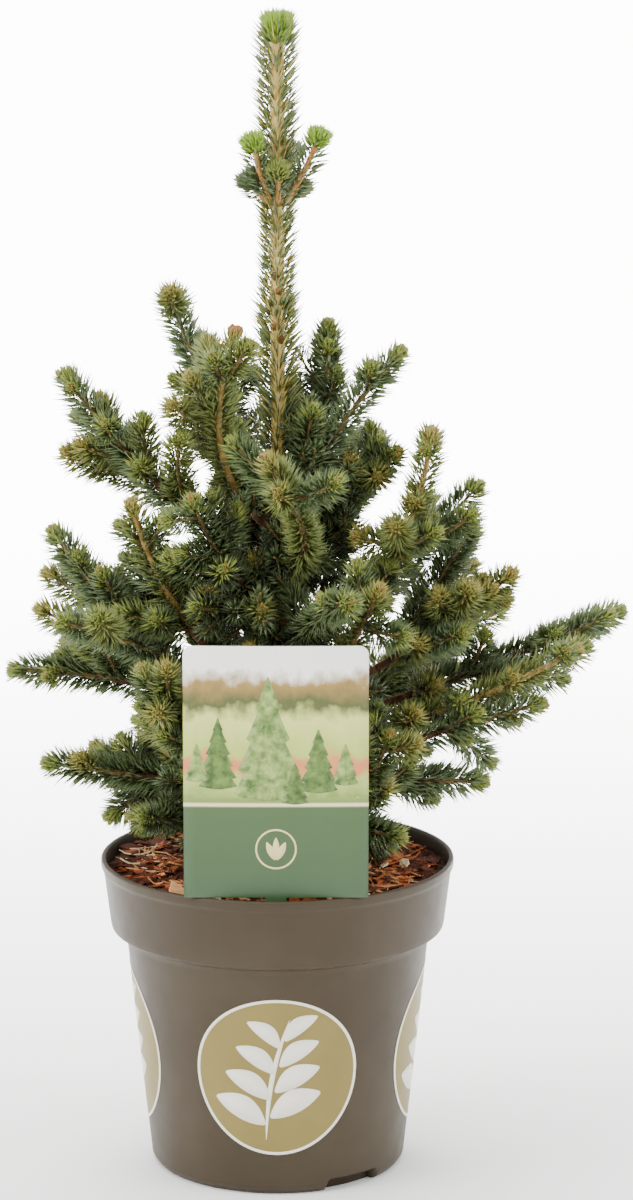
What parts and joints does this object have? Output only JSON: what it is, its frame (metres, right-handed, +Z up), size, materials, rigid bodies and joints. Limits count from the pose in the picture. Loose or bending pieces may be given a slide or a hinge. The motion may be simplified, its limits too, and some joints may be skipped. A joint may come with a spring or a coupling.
{
  "type": "potted dwarf spruce",
  "caption": "Young dwarf spruce with a tall bare leader over a broad bushy crown of short needles, growing in a tapered plastic nursery pot with a plain plant label.",
  "frame": {"origin": "middle of the pot's flat underside, on the pot's axis", "axes": "+Z up along the pot's axis and the leader, +X to the viewer's right, +Y away from the viewer: the label stands on the -Y side, and the leader's foot lies 3 mm to +X and 4 mm to +Y of its tip"},
  "size_m": [0.328, 0.267, 0.6274],
  "materials": {
    "pot": "matte injection-moulded taupe plastic, lightly satin",
    "mix": "moist dark brown bark and peat, loose and rough",
    "label": "printed satin plastic card",
    "bark": "thin rough reddish-brown bark with peg-like leaf bases",
    "leader_needles": "waxy light green needles over a golden-tan stem",
    "needles": "waxy dark blue-green needles"
  },
  "bodies": {
    "root": {"pot": "pot", "potting_mix": "mix", "plant_label": "label", "trunk": "bark", "needles_leader_top": "leader_needles", "needles_leader": "leader_needles", "bough_left_upper": "bark", "bough_left_low": "bark", "bough_left_fan": "bark", "bough_left_side": "bark", "bough_left_front": "bark", "bough_left_bottom": "bark", "bough_right_leader": "bark", "bough_right_out": "bark", "bough_right_side": "bark", "bough_right_gold": "bark", "bough_right_low": "bark", "bough_right_bottom": "bark", "bough_back_low_left": "bark", "bough_back_low": "bark", "bough_back_low_right": "bark", "bough_back_mid_left": "bark", "bough_back_mid_right": "bark", "needles_left_upper": "needles", "needles_left_top": "needles", "needles_left_candle": "needles", "needles_right_top": "needles", "needles_right_high": "needles", "needles_right_upper": "needles", "needles_front_mid": "needles", "needles_left_mid": "needles", "needles_left_low": "needles", "needles_left_fan": "needles", "needles_left_side": "needles", "needles_left_front": "needles", "needles_left_bottom": "needles", "needles_left_droop": "needles", "needles_left_foot": "needles", "needles_right_leader": "needles", "needles_right_out": "needles", "needles_right_side": "needles", "needles_right_gold": "needles", "needles_right_low": "needles", "needles_right_bottom": "needles", "needles_right_foot": "needles", "needles_front_right": "needles", "needles_front_centre": "needles", "needles_front_inner": "needles", "needles_front_low": "needles", "needles_back_low_left": "needles", "needles_back_low": "needles", "needles_back_low_right": "needles", "needles_back_mid_left": "needles", "needles_back_mid_right": "needles", "needles_back_left": "needles", "needles_back_centre": "needles", "needles_back_right": "needles", "needles_back_top": "needles", "needles_back_high_left": "needles", "needles_back_high_right": "needles"}
  },
  "joints": []
}
